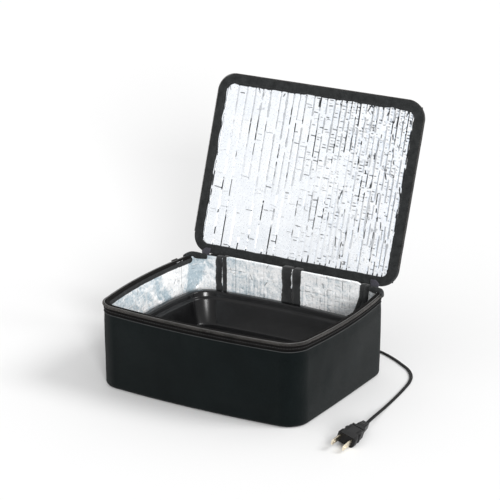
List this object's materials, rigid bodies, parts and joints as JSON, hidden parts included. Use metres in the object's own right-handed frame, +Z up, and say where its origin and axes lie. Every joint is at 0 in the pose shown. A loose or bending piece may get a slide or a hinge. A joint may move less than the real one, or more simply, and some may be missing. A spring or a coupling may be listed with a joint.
{
  "type": "electric lunch box",
  "caption": "Insulated fabric lunch bag with a zipped hinged lid, a mains heating plate on its floor and a food tray that rests on the plate.",
  "frame": {"origin": "centre of the bag's base where it stands", "axes": "+Z up, +X to the right seen from the front, +Y towards the lid hinge at the back"},
  "size_m": [0.3187, 0.2918, 0.2814],
  "materials": {
    "shell_fabric": "fine polyester weave",
    "binding": "ribbed binding tape",
    "foam": "closed-cell foam",
    "foil": "crinkled foil film",
    "zip_tape": "woven zip tape",
    "zip_coil": "moulded nylon coil",
    "slider_metal": "black enamel",
    "pull_rubber": "moulded",
    "webbing": "woven webbing",
    "housing_plastic": "satin moulded",
    "plate_metal": "satin coated",
    "track_metal": "etched strip",
    "carrier_rubber": "silicone sheet",
    "glass_mat": "glass-fibre mat",
    "cover_plastic": "moulded",
    "screw_steel": "plated",
    "fuse_metal": "plated",
    "block_ceramic": "unglazed",
    "lead_rubber": "silicone sleeve",
    "tray_plastic": "glossy polypropylene",
    "cord_rubber": "satin flexible sheath",
    "plug_plastic": "moulded",
    "blade_brass": "bright"
  },
  "bodies": {
    "bag": {"outer_shell": "shell_fabric", "base_panel": "shell_fabric", "wall_foam": "foam", "base_foam": "foam", "wall_liner": "foil", "base_liner": "foil", "rim_binding": "binding", "floor_seam_binding": "binding", "left_seam_binding": "binding", "right_seam_binding": "binding", "slit_binding": "binding", "hinge_strip": "binding", "bag_zip_tape": "zip_tape", "bag_zip_coil": "zip_coil", "left_zip_stop": "zip_tape", "right_zip_stop": "zip_tape", "inner_lead": "cord_rubber", "cord_tail": "cord_rubber", "cord_coil": "cord_rubber", "power_cord": "cord_rubber", "plug_boot": "plug_plastic", "plug_body": "plug_plastic", "plug_blades": "blade_brass"},
    "lid": {"lid_cover": "shell_fabric", "lid_foam": "foam", "lid_liner": "foil", "lid_binding": "binding", "lid_zip_coil": "zip_coil", "carry_handle": "webbing", "handle_anchors": "webbing"},
    "slider": {"zip_slider": "slider_metal"},
    "pull": {"zip_pull": "pull_rubber"},
    "heater": {"plate_housing": "housing_plastic", "heat_plate": "plate_metal", "heating_track": "track_metal", "heater_carrier": "carrier_rubber", "insulation_mat": "glass_mat", "bottom_cover": "cover_plastic", "cover_screws": "screw_steel", "thermostat": "screw_steel", "thermal_fuse": "fuse_metal", "terminal_block": "block_ceramic", "internal_leads": "lead_rubber", "cord_gland": "cord_rubber"},
    "tray": {"food_tray": "tray_plastic"}
  },
  "joints": [
    {"name": "lid_hinge", "type": "hinge", "parent": "bag", "child": "lid", "pos_m": [0, 0.0986, 0.0923], "axis": [-1, 0, 0], "range_deg": [-109, 0]},
    {"name": "zip_slide", "type": "hinge", "parent": "bag", "child": "slider", "pos_m": [0.39585, 0, 0.092], "axis": [0, 0, 1], "range_deg": [0, 13.6]},
    {"name": "pull_swing", "type": "hinge", "parent": "slider", "child": "pull", "pos_m": [-0.12668, 0.0625, 0.088], "axis": [0.1188, 0.9929, 0], "range_deg": [0, 150]},
    {"name": "plate_lift", "type": "slide", "parent": "bag", "child": "heater", "axis": [0, 0, 1], "range_m": [0, 0.126], "deforming": ["inner_lead"]},
    {"name": "tray_lift", "type": "slide", "parent": "heater", "child": "tray", "axis": [0, 0, 1], "range_m": [0, 0.061]}
  ]
}
